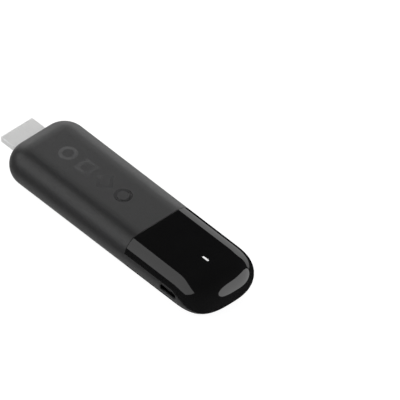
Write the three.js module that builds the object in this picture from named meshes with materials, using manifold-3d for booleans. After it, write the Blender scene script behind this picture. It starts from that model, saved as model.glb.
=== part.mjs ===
// Streaming media player stick: a small sealed computer that plugs straight into a television.
//
// Drawing frame of the stick, in millimetres:
//   x = 0 at the wall that the plug comes out of, +X towards the polished tip
//   y = 0 on the centre line
//   z = 0 at half the thickness, +Z out of the front face
// The finished stick is lifted and centred at the end, so that it lies on z = 0 over the origin.

import Module from 'manifold-3d';
import * as THREE from 'three';
import { mergeVertices } from 'three/addons/utils/BufferGeometryUtils.js';

const wasm = await Module();
wasm.setup();

// Housing
const bodyLength = 99;
const bodyWidth = 30;
const bodyThickness = 14;
const edgeReach = 6.4; // how far the rounded edge reaches in from the side, its height is half the thickness
const plugEndRadius = 8.6; // plan corners at the plug end
const tipReach = 14.3; // length of the superellipse that closes the tip
const tipExponent = 2.75;
const shellWall = 1.6;
const ledgeDepth = 2.6; // inner face of the ledge that carries the covers, below the outer skin
const ledgeWidth = 1.8;
const ledgeStart = 59.4;
const supportRibs = [11.5, 57.6]; // x of the ribs under the board
const ribWidth = 1;

// Polished covers
const coverStart = 61.7;
const coverWall = 1.3;
const coverGap = 0.3;
const railTop = 1.9; // the matte rail between the covers on the port side
const railBottom = -2.6;
const railTurn = 84; // x where the rail starts to sweep down round the tip
const railTipTop = -4.4; // upper edge of the rail at the tip and on the far side
const railTipBottom = -5.1; // lower edge of the rail where it reaches the tip
const farSideStart = -6; // y from which the front cover wraps the tip and the far side evenly
const rearEdge = { tip: 6.6, farSide: 5.3, hook: -9.8, hookRadius: 1.8 }; // insets, and y of the port side's hook

// Television plug
const plugReach = 7.6; // how far it stands out of the housing
const plugTail = 8; // how far it goes into the housing
const plugTailStep = 0.1; // how much smaller the tail is all round, so it clears the housing
const plugWidth = 13.9;
const plugHeight = 4.45;
const plugSide = 2.12; // height of the plug's upright sides, above its 45 degree chamfers
const plugAxisHeight = -1.2;
const plugSheet = 0.35;
const plugCorner = 0.4;
const insulatorRecess = 0.6;
const insulatorTail = 8.2;
const contactSlot = { width: 10.8, height: 1.35 };
const contactSize = { start: -6.9, end: 10.2, width: 0.45, thickness: 0.15 };
const contactPitch = 1;
const wideRowContacts = 10;
const narrowRowContacts = 9;
const latchWindow = { size: 1.45, spacing: 5, start: -4.5 };

// Power port
const portX = 83.1;
const portHole = { width: 7.6, height: 2.5, corner: 0.8 };
const portShell = { width: 7.4, height: 2.5, sheet: 0.25, mouth: -13.4, back: -8.4 };
const portPocket = { width: 8.8, height: 3.8, depth: -13.7 };
const portContacts = 5;
const portPitch = 0.65;

// Indicator light
const lightX = 85.1;
const lightBar = { length: 3.05, width: 0.72 };

// Circuit board
const boardStart = 8.6;
const boardEnd = 93;
const boardHalfWidth = 10.5;
const boardThickness = 0.8;
const boardTop = plugAxisHeight + boardThickness / 2;
const boardBottom = plugAxisHeight - boardThickness / 2;
const boardNotch = { width: 8, depth: 2.4 };
const solderGap = 0.05;
const clearance = 0.1;

// Fineness of the round stretches
const tipSteps = 28;
const cornerSteps = 6;
const edgeSteps = 12;

const finish = (color, roughness, metalness = 0) =>
  new THREE.MeshStandardMaterial({ color, roughness, metalness });
const mattePlastic = () => finish(0x2b2c2e, 0.75);
const glossPlastic = () => finish(0x101113, 0.12);
const blackPlastic = () => finish(0x17181a, 0.6);
const whiteDiffuser = () => finish(0xf4f6f8, 0.4);
const plugSteel = () => finish(0xc4c6c8, 0.3, 1);
const tinnedSteel = () => finish(0xb2b5b7, 0.4, 1);
const gold = () => finish(0xd8b25a, 0.3, 1);
const aluminium = () => finish(0xa9adb0, 0.45, 1);
const laminate = () => finish(0x1c4a36, 0.5);
const chipResin = () => finish(0x1d1e20, 0.55);
const padSilicone = () => finish(0x8fa3b3, 0.9);
const ceramicTan = () => finish(0xb79a72, 0.5);
const ferrite = () => finish(0x4a4b4d, 0.6);

// ---- Solids and cuts -------------------------------------------------------------------------

function toSolid(geometry) {
  const bare = geometry.index ? geometry.clone() : geometry;
  bare.deleteAttribute('normal');
  bare.deleteAttribute('uv');
  const welded = mergeVertices(bare, 1e-5);
  return new wasm.Manifold(new wasm.Mesh({
    numProp: 3,
    vertProperties: new Float32Array(welded.attributes.position.array),
    triVerts: new Uint32Array(welded.index.array),
  }));
}

function toGeometry(solid) {
  const mesh = solid.getMesh();
  const geometry = new THREE.BufferGeometry();
  geometry.setAttribute('position', new THREE.BufferAttribute(mesh.vertProperties, 3));
  geometry.setIndex(new THREE.BufferAttribute(mesh.triVerts, 1));
  geometry.computeVertexNormals();
  return geometry;
}

// A solid through rings with the same number of points, each ring convex and anticlockwise from above.
function loft(rings) {
  const count = rings[0].length;
  const positions = rings.flat().flatMap((point) => [point.x, point.y, point.z]);
  const index = [];
  for (let level = 0; level + 1 < rings.length; level += 1) {
    for (let i = 0; i < count; i += 1) {
      const a = level * count + i;
      const b = level * count + ((i + 1) % count);
      index.push(a, b, b + count, a, b + count, a + count);
    }
  }
  const top = (rings.length - 1) * count;
  for (let i = 1; i + 1 < count; i += 1) {
    index.push(0, i + 1, i, top, top + i, top + i + 1);
  }
  const geometry = new THREE.BufferGeometry();
  geometry.setAttribute('position', new THREE.Float32BufferAttribute(positions, 3));
  geometry.setIndex(index);
  geometry.computeVertexNormals();
  return geometry;
}

// A straight-sided block between two x, two y and two z values.
function block([x0, x1], [y0, y1], [z0, z1]) {
  const geometry = new THREE.BoxGeometry(x1 - x0, y1 - y0, z1 - z0);
  return geometry.translate((x0 + x1) / 2, (y0 + y1) / 2, (z0 + z1) / 2);
}

// Prisms whose outline is drawn in (x, y), (x, z) or (y, z) and pushed along the third axis.
function prism(shape, depth) {
  return new THREE.ExtrudeGeometry(shape, { depth, bevelEnabled: false, curveSegments: 8 });
}

function prismAlongZ(shape, z0, z1) {
  return prism(shape, z1 - z0).translate(0, 0, z0);
}

function prismAlongY(shape, y0, y1) {
  return prism(shape, y1 - y0).rotateX(Math.PI / 2).translate(0, y1, 0);
}

function prismAlongX(shape, x0, x1) {
  const turn = new THREE.Matrix4().makeBasis(
    new THREE.Vector3(0, 1, 0), new THREE.Vector3(0, 0, 1), new THREE.Vector3(1, 0, 0));
  return prism(shape, x1 - x0).applyMatrix4(turn).translate(x0, 0, 0);
}

// A polygon whose corners are all rounded by the same radius.
function roundedPolygon(corners, radius, PathType = THREE.Shape) {
  const path = new PathType();
  corners.forEach((corner, i) => {
    const before = corners[(i + corners.length - 1) % corners.length];
    const after = corners[(i + 1) % corners.length];
    const enter = corner.clone().add(before.clone().sub(corner).setLength(radius));
    const leave = corner.clone().add(after.clone().sub(corner).setLength(radius));
    if (i === 0) path.moveTo(enter.x, enter.y);
    else path.lineTo(enter.x, enter.y);
    path.quadraticCurveTo(corner.x, corner.y, leave.x, leave.y);
  });
  path.closePath();
  return path;
}

function rectangle(centreX, centreY, width, height) {
  const [w, h] = [width / 2, height / 2];
  return [[-w, -h], [w, -h], [w, h], [-w, h]].map(([x, y]) => new THREE.Vector2(centreX + x, centreY + y));
}

// ---- Scene graph -----------------------------------------------------------------------------

const player = new THREE.Group();
const stick = new THREE.Group();
player.add(stick);

function addPiece(name, geometry, material, parent = stick) {
  const mesh = new THREE.Mesh(geometry, material);
  mesh.name = name;
  parent.add(mesh);
  return mesh;
}

// ---- Outer form of the stick ------------------------------------------------------------------

// Plan outline, anticlockwise, moved in by an inset along its own normals.
function outline(inset) {
  const points = [];
  const add = (x, y, normal) => points.push(new THREE.Vector2(x, y).addScaledVector(normal, -inset));
  const power = 2 / tipExponent;
  for (let i = 0; i <= tipSteps; i += 1) {
    const turn = Math.PI * (i / tipSteps - 0.5);
    const along = Math.abs(Math.cos(turn));
    const across = Math.abs(Math.sin(turn));
    const side = Math.sign(Math.sin(turn));
    const normal = new THREE.Vector2(
      along ** (2 - power) / tipReach, side * across ** (2 - power) / (bodyWidth / 2)).normalize();
    add(bodyLength - tipReach * (1 - along ** power), side * (bodyWidth / 2) * across ** power, normal);
  }
  for (const side of [1, -1]) {
    for (let i = 0; i <= cornerSteps; i += 1) {
      const turn = (Math.PI / 2) * (i / cornerSteps + (side > 0 ? 1 : 2));
      const normal = new THREE.Vector2(Math.cos(turn), Math.sin(turn));
      const centreY = side * (bodyWidth / 2 - plugEndRadius);
      add(plugEndRadius * (1 + normal.x), centreY + plugEndRadius * normal.y, normal);
    }
  }
  return points;
}

// The whole form, thinned by a wall thickness all round: its edges are half ellipses.
function pillow(thinning) {
  const rings = [];
  for (let i = 0; i <= edgeSteps; i += 1) {
    const turn = Math.PI * (i / edgeSteps - 0.5);
    const inset = thinning + (edgeReach - thinning) * (1 - Math.cos(turn));
    const height = (bodyThickness / 2 - thinning) * Math.sin(turn);
    rings.push(outline(inset).map((point) => new THREE.Vector3(point.x, point.y, height)));
  }
  return toSolid(loft(rings));
}

const outerForm = pillow(0);
const far = 30; // past every face of the stick

// Where the front cover lies: the front of the tip end, down to the rail. Growth widens it all round.
function frontCoverZone(growth) {
  const start = coverStart - growth;
  const profile = new THREE.Shape();
  profile.moveTo(start, railTop - growth);
  profile.lineTo(railTurn, railTop - growth);
  profile.bezierCurveTo(
    railTurn + 6, railTop - growth,
    railTurn + 11.5 - growth, railTop - 2.9 - growth,
    railTurn + 13.2 - growth, railTipTop - growth);
  profile.lineTo(bodyLength + far, railTipTop - growth);
  profile.lineTo(bodyLength + far, far);
  profile.lineTo(start, far);
  const portSide = toSolid(prismAlongY(profile, -far, farSideStart));
  const farSide = toSolid(block(
    [start, bodyLength + far], [farSideStart, far], [railTipTop - growth, far]));
  return portSide.add(farSide);
}

// Where the rear cover lies: the flat of the tip end, wrapped up to the rail on the port side only.
function rearCoverZone(growth) {
  const start = coverStart - growth;
  const tipEdge = bodyLength - rearEdge.tip + growth;
  const farEdge = bodyWidth / 2 - rearEdge.farSide + growth;
  const hookEdge = rearEdge.hook + growth;
  const plan = new THREE.Shape();
  plan.moveTo(start, -far);
  plan.lineTo(bodyLength, -far);
  plan.lineTo(bodyLength, hookEdge);
  plan.lineTo(tipEdge + rearEdge.hookRadius, hookEdge);
  plan.quadraticCurveTo(tipEdge, hookEdge, tipEdge, hookEdge + rearEdge.hookRadius);
  plan.lineTo(tipEdge, 0);
  plan.bezierCurveTo(tipEdge, farEdge * 0.64, tipEdge - 3, farEdge, railTurn - 2, farEdge);
  plan.lineTo(start, farEdge);
  const side = new THREE.Shape();
  side.moveTo(start, -far);
  side.lineTo(bodyLength + far, -far);
  side.lineTo(bodyLength + far, railTipBottom + growth);
  side.lineTo(bodyLength - 2, railTipBottom + growth);
  side.quadraticCurveTo(railTurn + 6, railBottom + growth, railTurn - 2, railBottom + growth);
  side.lineTo(start, railBottom + growth);
  return toSolid(prismAlongZ(plan, -far, far)).intersect(toSolid(prismAlongY(side, -far, far)));
}

// Outline of the television plug in (y, z): wide face to the front, chamfers to the back.
function plugCorners(inset) {
  const top = plugAxisHeight + plugHeight / 2;
  const bottom = top - plugHeight;
  const chamfer = plugHeight - plugSide;
  const slant = Math.tan(Math.PI / 8) * inset;
  const half = plugWidth / 2;
  return [
    [-half + chamfer + slant, bottom + inset],
    [half - chamfer - slant, bottom + inset],
    [half - inset, bottom + chamfer + slant],
    [half - inset, top - inset],
    [-half + inset, top - inset],
    [-half + inset, bottom + chamfer + slant],
  ].map(([y, z]) => new THREE.Vector2(y, z));
}

// Outline of the power port in (x, z): flat to the front, clipped corners to the back.
function portCorners(inset) {
  const half = portShell.width / 2;
  const top = portShell.height / 2;
  const clip = 0.95;
  const slant = Math.tan(Math.PI / 8) * inset;
  return [
    [-half + clip + slant, -top + inset],
    [half - clip - slant, -top + inset],
    [half - inset, -top + clip + slant],
    [half - inset, top - inset],
    [-half + inset, top - inset],
    [-half + inset, -top + clip + slant],
  ].map(([x, z]) => new THREE.Vector2(portX + x, z));
}

// ---- Housing and covers -----------------------------------------------------------------------

function mainHousing() {
  const ledgeSkin = pillow(coverWall + coverGap);
  const plugEndOnly = toSolid(block([-far, ledgeStart], [-far, far], [-far, far]));
  const cavity = pillow(ledgeDepth).add(pillow(shellWall).intersect(plugEndOnly));
  const ribs = supportRibs
    .map((x) => toSolid(block([x, x + ribWidth], [-far, far], [-far, boardBottom - clearance])))
    .reduce((joined, rib) => joined.add(rib));
  let housing = outerForm.subtract(cavity.subtract(ribs));
  for (const zone of [frontCoverZone, rearCoverZone]) {
    housing = housing.subtract(zone(coverGap / 2).subtract(ledgeSkin)).subtract(zone(-ledgeWidth));
  }
  const plugHole = prismAlongX(roundedPolygon(plugCorners(-coverGap), plugCorner), -1, plugTail);
  const portMouth = roundedPolygon(
    rectangle(portX, 0, portHole.width, portHole.height), portHole.corner);
  const pocket = block(
    [portX - portPocket.width / 2, portX + portPocket.width / 2],
    [portPocket.depth, portShell.back],
    [-portPocket.height / 2, portPocket.height / 2]);
  return housing
    .subtract(toSolid(plugHole))
    .subtract(toSolid(prismAlongY(portMouth, -bodyWidth, portShell.mouth)))
    .subtract(toSolid(pocket));
}

function lightBarShape(growth) {
  const height = lightBar.width + 2 * growth;
  return roundedPolygon(rectangle(lightX, 0, lightBar.length + 2 * growth, height), height * 0.4);
}

function cover(zone) {
  return outerForm.subtract(pillow(coverWall)).intersect(zone(-coverGap / 2));
}

const lightHole = toSolid(prismAlongZ(lightBarShape(clearance), 0, bodyThickness));
addPiece('main_housing', toGeometry(mainHousing()), mattePlastic());
addPiece('front_gloss_cover', toGeometry(cover(frontCoverZone).subtract(lightHole)), glossPlastic());
addPiece('rear_gloss_cover', toGeometry(cover(rearCoverZone)), glossPlastic());

// The light pipe: a bar flush with the cover, a flange under it, and a stem down to the light chip.
function lightPipe() {
  const underCover = bodyThickness / 2 - coverWall - clearance;
  const bar = prismAlongZ(lightBarShape(0), underCover - 0.4, bodyThickness / 2);
  const flange = block([lightX - 2.5, lightX + 2.5], [-1.3, 1.3], [underCover - 0.8, underCover]);
  const stem = block([lightX - 1.1, lightX + 1.1], [-0.7, 0.7], [0.4, underCover - 0.6]);
  return toSolid(bar).add(toSolid(flange)).add(toSolid(stem));
}

addPiece('led_light_pipe', toGeometry(lightPipe()), whiteDiffuser());

// ---- Television plug --------------------------------------------------------------------------

function plugTube(outerInset, innerInset, start, end) {
  const section = roundedPolygon(plugCorners(outerInset), plugCorner - outerInset);
  section.holes.push(roundedPolygon(plugCorners(innerInset), plugCorner - innerInset, THREE.Path));
  return toSolid(prismAlongX(section, start, end));
}

function plugShell() {
  const windows = [-1, 1].map((side) => {
    const centre = (side * latchWindow.spacing) / 2;
    const reach = latchWindow.size / 2;
    return toSolid(block(
      [latchWindow.start, latchWindow.start + latchWindow.size],
      [centre - reach, centre + reach],
      [plugAxisHeight - plugHeight, plugAxisHeight - plugHeight / 2 + 2 * plugSheet]));
  });
  const tube = plugTube(0, plugSheet, -plugReach, plugTail);
  const tailCut = plugTube(-coverGap, plugTailStep, 0, plugTail + coverGap);
  return windows.reduce((shell, window) => shell.subtract(window), tube.subtract(tailCut));
}

function plugInsulator() {
  const body = roundedPolygon(plugCorners(plugSheet + clearance), plugCorner - plugSheet);
  const slot = rectangle(0, plugAxisHeight, contactSlot.width, contactSlot.height);
  body.holes.push(new THREE.Path(slot));
  return prismAlongX(body, insulatorRecess - plugReach, insulatorTail);
}

addPiece('hdmi_plug_shell', toGeometry(plugShell()), plugSteel());
addPiece('hdmi_insulator', plugInsulator(), blackPlastic());

// Two staggered rows of spring contacts, which run back through the slot to clasp the board's edge.
const contactLength = contactSize.end - contactSize.start;
const contactStrip = new THREE.BoxGeometry(contactLength, contactSize.width, contactSize.thickness);
const contactHeight = (contactSlot.height - contactSize.thickness) / 2 - solderGap / 2;
const plugContacts = new THREE.Group();
plugContacts.position.set(contactSize.start + contactLength / 2, 0, plugAxisHeight);
stick.add(plugContacts);
for (let pin = 1; pin <= wideRowContacts + narrowRowContacts; pin += 1) {
  const name = `hdmi_contact_${String(pin).padStart(2, '0')}`;
  const contact = addPiece(name, contactStrip, gold(), plugContacts);
  const row = pin % 2 === 1 ? 1 : -1;
  contact.position.set(0, (pin - wideRowContacts) * (contactPitch / 2), row * contactHeight);
}

// ---- Power port -------------------------------------------------------------------------------

function portShellSolid() {
  const outer = prismAlongY(roundedPolygon(portCorners(0), 0.4), portShell.mouth, portShell.back);
  const hollow = prismAlongY(
    roundedPolygon(portCorners(portShell.sheet), 0.25), portShell.mouth - 1, portShell.back - portShell.sheet);
  return toSolid(outer).subtract(toSolid(hollow));
}

function portTongue() {
  const back = portShell.back - portShell.sheet - clearance;
  const tongue = block([portX - 1.85, portX + 1.85], [portShell.mouth + 0.4, back], [0.1, 0.7]);
  const root = block([portX - 2.5, portX + 2.5], [back - 0.8, back], [-0.85, 0.85]);
  return toSolid(tongue).add(toSolid(root));
}

addPiece('usb_port_shell', toGeometry(portShellSolid()), tinnedSteel());
addPiece('usb_tongue', toGeometry(portTongue()), blackPlastic());
for (let pin = 1; pin <= portContacts; pin += 1) {
  const contact = addPiece(`usb_contact_${pin}`, new THREE.BoxGeometry(0.35, 2.8, 0.12), gold());
  contact.position.set(portX + (pin - (portContacts + 1) / 2) * portPitch, -11.2, 0);
}

// ---- Circuit board ----------------------------------------------------------------------------

function boardOutline() {
  const [notchStart, notchEnd] = [portX - boardNotch.width / 2, portX + boardNotch.width / 2];
  const notchTop = -boardHalfWidth + boardNotch.depth;
  const tipCorner = 6;
  const shape = new THREE.Shape();
  shape.moveTo(boardStart, -boardHalfWidth);
  shape.lineTo(notchStart, -boardHalfWidth);
  shape.lineTo(notchStart, notchTop);
  shape.lineTo(notchEnd, notchTop);
  shape.absarc(boardEnd - tipCorner, -boardHalfWidth + tipCorner, tipCorner, -1.4, 0, false);
  shape.absarc(boardEnd - tipCorner, boardHalfWidth - tipCorner, tipCorner, 0, Math.PI / 2, false);
  shape.lineTo(boardStart, boardHalfWidth);
  return shape;
}

addPiece('main_board', prismAlongZ(boardOutline(), boardBottom, boardTop), laminate());

const boardFace = new THREE.Group();
boardFace.position.z = boardTop + solderGap;
stick.add(boardFace);

// A box-shaped component soldered to the front face of the board.
function addComponent(name, [length, width, height], [x, y], material) {
  const piece = addPiece(name, new THREE.BoxGeometry(length, width, height), material, boardFace);
  piece.position.set(x, y, height / 2);
}

addComponent('processor_chip', [14, 14, 1.1], [36, 0], chipResin());
addComponent('memory_chip_1', [8, 11, 0.9], [22, 0], chipResin());
addComponent('memory_chip_2', [8, 5.5, 0.9], [49.5, -4.5], chipResin());
addComponent('flash_chip', [8, 9, 0.9], [49.5, 4], chipResin());
addComponent('power_chip', [5, 5, 0.8], [66, 6], chipResin());
addComponent('led_chip', [1.6, 0.8, 0.6], [lightX, 0], whiteDiffuser());
addComponent('crystal', [3.2, 2.5, 0.7], [63.5, -1.5], tinnedSteel());
addComponent('inductor_1', [4, 4, 2], [64.5, -7.5], ferrite());
addComponent('inductor_2', [4, 4, 2], [70, -7.5], ferrite());
[[12.6, 6.5], [12.6, -6.5], [74.2, -8.2], [76.6, -8.2]].forEach(([x, y], i) => {
  addComponent(`capacitor_${i + 1}`, [0.9, 1.7, 0.9], [x, y], ceramicTan());
});

// An open-bottomed can of folded sheet, standing on z = 0.
function sheetCan(length, width, height, sheet) {
  const outer = toSolid(block([-length / 2, length / 2], [-width / 2, width / 2], [0, height]));
  const hollow = toSolid(block(
    [sheet - length / 2, length / 2 - sheet], [sheet - width / 2, width / 2 - sheet], [-1, height - sheet]));
  return toGeometry(outer.subtract(hollow));
}

const wirelessCan = addPiece('wireless_module_can', sheetCan(10, 12, 1.9, 0.25), tinnedSteel(), boardFace);
wirelessCan.position.set(75.5, 3, 0);

// Front shield: a soldered fence round the processor and memory, and a lid that snaps over it.
const shieldX = 35.7;
const shieldSize = { length: 40, width: 18.4, height: 1.6, sheet: 0.25 };

function shieldFence() {
  const fence = new THREE.Shape(rectangle(0, 0, shieldSize.length, shieldSize.width));
  fence.holes.push(new THREE.Path(rectangle(0, 0, shieldSize.length - 1.2, shieldSize.width - 1.2)));
  return prismAlongZ(fence, 0, shieldSize.height);
}

const shieldFenceMesh = addPiece('shield_fence', shieldFence(), tinnedSteel(), boardFace);
shieldFenceMesh.position.set(shieldX, 0, 0);

const lidGrowth = 2 * (shieldSize.sheet + clearance);
const lidTop = shieldSize.height + clearance + shieldSize.sheet;
const shieldLid = addPiece(
  'shield_lid',
  sheetCan(shieldSize.length + lidGrowth, shieldSize.width + lidGrowth, lidTop - 0.6, shieldSize.sheet),
  tinnedSteel(), boardFace);
shieldLid.position.set(shieldX, 0, 0.6);

const rearCanHeight = 1.4;
const rearCan = addPiece('rear_shield_can', sheetCan(34, 18, rearCanHeight, 0.25), tinnedSteel());
rearCan.rotation.x = Math.PI;
rearCan.position.set(shieldX, 0, boardBottom - solderGap);

// ---- Heat path: soft pads and aluminium plates on both sides of the board ----------------------

const chipPadHeight = 0.35;
addPiece('processor_pad', new THREE.BoxGeometry(12, 12, chipPadHeight), padSilicone(), boardFace)
  .position.set(36, 0, 1.1 + solderGap + chipPadHeight / 2 - 0.02);

const plateThickness = 0.8;
const frontPadHeight = 1.5;
const frontPadBase = lidTop + solderGap;
addPiece('front_pad', new THREE.BoxGeometry(28, 15, frontPadHeight), padSilicone(), boardFace)
  .position.set(shieldX, 0, frontPadBase + frontPadHeight / 2);

const rearPadHeight = 0.8;
const rearPadTop = boardBottom - 2 * solderGap - rearCanHeight;
addPiece('rear_pad', new THREE.BoxGeometry(26, 14, rearPadHeight), padSilicone())
  .position.set(shieldX, 0, rearPadTop - rearPadHeight / 2);

// A flat plate with clipped corners, along the middle of the housing.
function spreaderPlate(length, width, clip) {
  const plate = new THREE.Shape();
  const [l, w] = [length / 2, width / 2];
  plate.moveTo(-l + clip, -w);
  plate.lineTo(l - clip, -w);
  plate.lineTo(l, -w + clip);
  plate.lineTo(l, w - clip);
  plate.lineTo(l - clip, w);
  plate.lineTo(-l + clip, w);
  plate.lineTo(-l, w - clip);
  plate.lineTo(-l, -w + clip);
  return prismAlongZ(plate, 0, plateThickness);
}

addPiece('front_heat_spreader', spreaderPlate(42, 19, 2), aluminium(), boardFace)
  .position.set(shieldX, 0, frontPadBase + frontPadHeight + solderGap);
addPiece('rear_heat_spreader', spreaderPlate(40, 19, 2), aluminium())
  .position.set(shieldX, 0, rearPadTop - rearPadHeight - solderGap - plateThickness);

// ---- Antennas: stamped plates that stand on the board at the tip, behind the polished covers ----

function antennaPlate(length, height, sheet) {
  const leg = 1.2;
  const plate = new THREE.Shape();
  plate.moveTo(0, 0);
  plate.lineTo(leg, 0);
  plate.lineTo(leg, height - leg);
  plate.lineTo(2 * leg + 1, height - leg);
  plate.lineTo(2 * leg + 1, 0);
  plate.lineTo(3 * leg + 1, 0);
  plate.lineTo(3 * leg + 1, height - leg);
  plate.lineTo(length, height - leg);
  plate.lineTo(length, height);
  plate.lineTo(0, height);
  return prismAlongY(plate, -sheet / 2, sheet / 2);
}

const sideAntenna = addPiece('side_antenna', antennaPlate(13, 3.6, 0.3), tinnedSteel(), boardFace);
sideAntenna.position.set(72, 9.8, 0);
const tipAntenna = addPiece('tip_antenna', antennaPlate(11, 3.6, 0.3), tinnedSteel(), boardFace);
tipAntenna.rotation.z = Math.PI / 2;
tipAntenna.position.set(91.6, -4, 0);

// ---- Placing the stick: lying on its back, centred over the origin ------------------------------

stick.position.set((plugReach - bodyLength) / 2, 0, bodyThickness / 2);

export default player;
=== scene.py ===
import math

import bpy
import numpy as np
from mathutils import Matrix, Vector


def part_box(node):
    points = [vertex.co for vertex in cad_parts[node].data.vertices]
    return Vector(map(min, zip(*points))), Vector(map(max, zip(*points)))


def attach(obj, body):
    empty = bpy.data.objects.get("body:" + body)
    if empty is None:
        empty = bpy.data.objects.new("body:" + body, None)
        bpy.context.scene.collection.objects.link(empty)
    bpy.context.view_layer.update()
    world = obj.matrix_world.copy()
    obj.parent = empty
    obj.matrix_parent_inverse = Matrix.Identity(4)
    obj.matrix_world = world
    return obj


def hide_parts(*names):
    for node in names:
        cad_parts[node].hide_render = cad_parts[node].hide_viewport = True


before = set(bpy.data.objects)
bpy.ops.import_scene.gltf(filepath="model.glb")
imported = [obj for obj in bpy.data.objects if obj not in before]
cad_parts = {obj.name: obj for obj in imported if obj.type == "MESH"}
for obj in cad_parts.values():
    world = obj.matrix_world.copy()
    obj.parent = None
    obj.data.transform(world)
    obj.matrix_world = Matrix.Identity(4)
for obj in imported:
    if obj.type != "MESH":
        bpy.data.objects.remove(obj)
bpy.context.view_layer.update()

# ---- Housing -------------------------------------------------------------------------------
# The housing is one injection-moulded sleeve of black ABS, closed at the plug end. Past the middle
# it keeps only a rail round the side, which carries the two polished covers and the power port.
# Its skin is spark-eroded in the mould, so it looks soft and slightly grainy.
mm = 0.001
housing_low, housing_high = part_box("main_housing")
cover_low, cover_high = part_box("front_gloss_cover")
plug_wall = housing_low.x
middle_height = (housing_low.z + housing_high.z) / 2
length = cover_high.x - plug_wall
half_width = (housing_high.y - housing_low.y) / 2
half_height = (housing_high.z - housing_low.z) / 2
edge_reach = 6.4 * mm  # how far the rounded edge runs in from the side
corner_radius = 8.6 * mm  # of the two corners at the plug, seen from above
tip_reach = 14.3 * mm  # length of the rounded tip
tip_power = 2 / 2.75  # a superellipse of power 2.75
wall = 1.6 * mm
seam = 0.03 * mm  # half the gap between the housing and a cover
rim_radius = 0.12 * mm
rail_start = cover_low.x - plug_wall - 0.15 * mm  # the middle of the joint before the covers
rail_turn = 84 * mm  # where the rail's upper edge starts to drop towards the tip
tip_start = length - tip_reach


def evenly(path, steps):
    """Points and normals at equal distances along a path given as a function of 0 to 1."""
    t = np.linspace(0, 1, 4001)
    points = path(t)[0]
    run = np.concatenate([[0], np.cumsum(np.linalg.norm(np.diff(points, axis=0), axis=1))])
    return path(np.interp(np.linspace(0, run[-1], steps + 1), run, t))


def straight(start, end):
    """A straight side of the outline."""

    def path(t):
        points = np.outer(1 - t, start) + np.outer(t, end)
        along = np.subtract(end, start) / np.linalg.norm(np.subtract(end, start))
        return points, np.tile([along[1], -along[0]], (len(t), 1))
    return path


def tip_curve(t):
    """The rounded tip, from the port's side round to the other."""
    turn = math.pi * (t - 0.5)
    along, across, side = np.abs(np.cos(turn)), np.abs(np.sin(turn)), np.sign(np.sin(turn))
    points = np.c_[length - tip_reach * (1 - along ** tip_power),
                   side * half_width * across ** tip_power]
    normals = np.c_[along ** (2 - tip_power) / tip_reach, side * across ** (2 - tip_power) / half_width]
    return points, normals / np.linalg.norm(normals, axis=1)[:, None]


def plug_corner(side):
    """A quarter circle beside the plug."""

    def path(t):
        turn = (t + (1 if side > 0 else 2)) * math.pi / 2
        normals = np.c_[np.cos(turn), np.sin(turn)]
        centre = [corner_radius, side * (half_width - corner_radius)]
        return centre + corner_radius * normals, normals
    return path


# The plan outline, anticlockwise: round the tip first, then round the plug end.
side_steps, tip_steps, corner_steps, end_steps = 24, 80, 20, 16
end_half = half_width - corner_radius
outline_parts = [
    evenly(straight((rail_start, -half_width), (tip_start, -half_width)), side_steps),
    evenly(tip_curve, tip_steps),
    evenly(straight((tip_start, half_width), (rail_start, half_width)), side_steps),
    evenly(straight((rail_start, half_width), (corner_radius, half_width)), side_steps),
    evenly(plug_corner(1), corner_steps),
    evenly(straight((0, end_half), (0, -end_half)), end_steps),
    evenly(plug_corner(-1), corner_steps),
    evenly(straight((corner_radius, -half_width), (rail_start, -half_width)), side_steps),
]
outline = np.vstack([part[0][:-1] for part in outline_parts])
outward = np.vstack([part[1][:-1] for part in outline_parts])
stations = len(outline)
tip_end = 2 * side_steps + tip_steps


def form_point(station, turn, depth=0.0):
    """A point and normal of the form: a station along the outline, a turn up the half-ellipse edge."""
    low = int(math.floor(station)) % stations
    share = station - math.floor(station)
    high = (low + 1) % stations
    plan = outline[low] * (1 - share) + outline[high] * share
    normal = outward[low] * (1 - share) + outward[high] * share
    normal = normal / np.linalg.norm(normal)
    reach, rise = edge_reach - depth, half_height - depth
    inset = depth + reach * (1 - math.cos(turn))
    point = np.array([*(plan - normal * inset), rise * math.sin(turn)])
    slope = np.array([*(normal * math.cos(turn) / reach), math.sin(turn) / rise])
    return point, slope / np.linalg.norm(slope)


def edge_turn(height):
    """The turn up the rounded edge at which it has a given height."""
    return math.asin(max(-1.0, min(1.0, height / half_height)))


def smooth(share):
    """A share from 0 to 1, eased at both ends."""
    share = min(max(share, 0.0), 1.0)
    return share * share * (3 - 2 * share)


rail_top, rail_bottom, rail_tip_top = 1.9 * mm, -2.6 * mm, -4.4 * mm
rail_low_point = length - 1.2 * mm  # where the upper edge has come all the way down
rail_drop, rail_drop_length = 2.5 * mm, 15 * mm  # how far the lower edge falls, and over what length
hook_start, hook_end = length - 4.0 * mm, length - 2.2 * mm  # where the rail hooks in under the tip
flat_edge_turn = math.radians(-88.5)
far_edge_turn = math.radians(-80)


def rail_turns(station):
    """Lower and upper edge of the matte rail at a station of the tip half."""
    x, y = outline[int(station) % stations]
    if y < 0 and x < tip_start:
        top = rail_top
    else:
        sweep = smooth((x - rail_turn) / (rail_low_point - rail_turn)) if y < 0 else 1.0
        top = rail_top + (rail_tip_top - rail_top) * sweep
    if y < 0 and x < hook_end:
        drop = max(0.0, (x - (rail_turn - 2 * mm)) / rail_drop_length)
        bottom = edge_turn(rail_bottom - rail_drop * drop ** 2)
        bottom += (flat_edge_turn - bottom) * smooth((x - hook_start) / (hook_end - hook_start))
    elif y < 0 or x > tip_start:
        far = smooth(y / (half_width * 0.97)) if y > 0 else 0.0
        bottom = flat_edge_turn + (far_edge_turn - flat_edge_turn) * far ** 3
    else:
        bottom = far_edge_turn
    return bottom, edge_turn(top)


# The skin is a grid of stations along the outline and of rows up the rounded edge.
rear_rows, rail_rows, front_rows = 10, 12, 12
rows = rear_rows + rail_rows + front_rows
rail_low, rail_high = rear_rows, rear_rows + rail_rows


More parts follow.
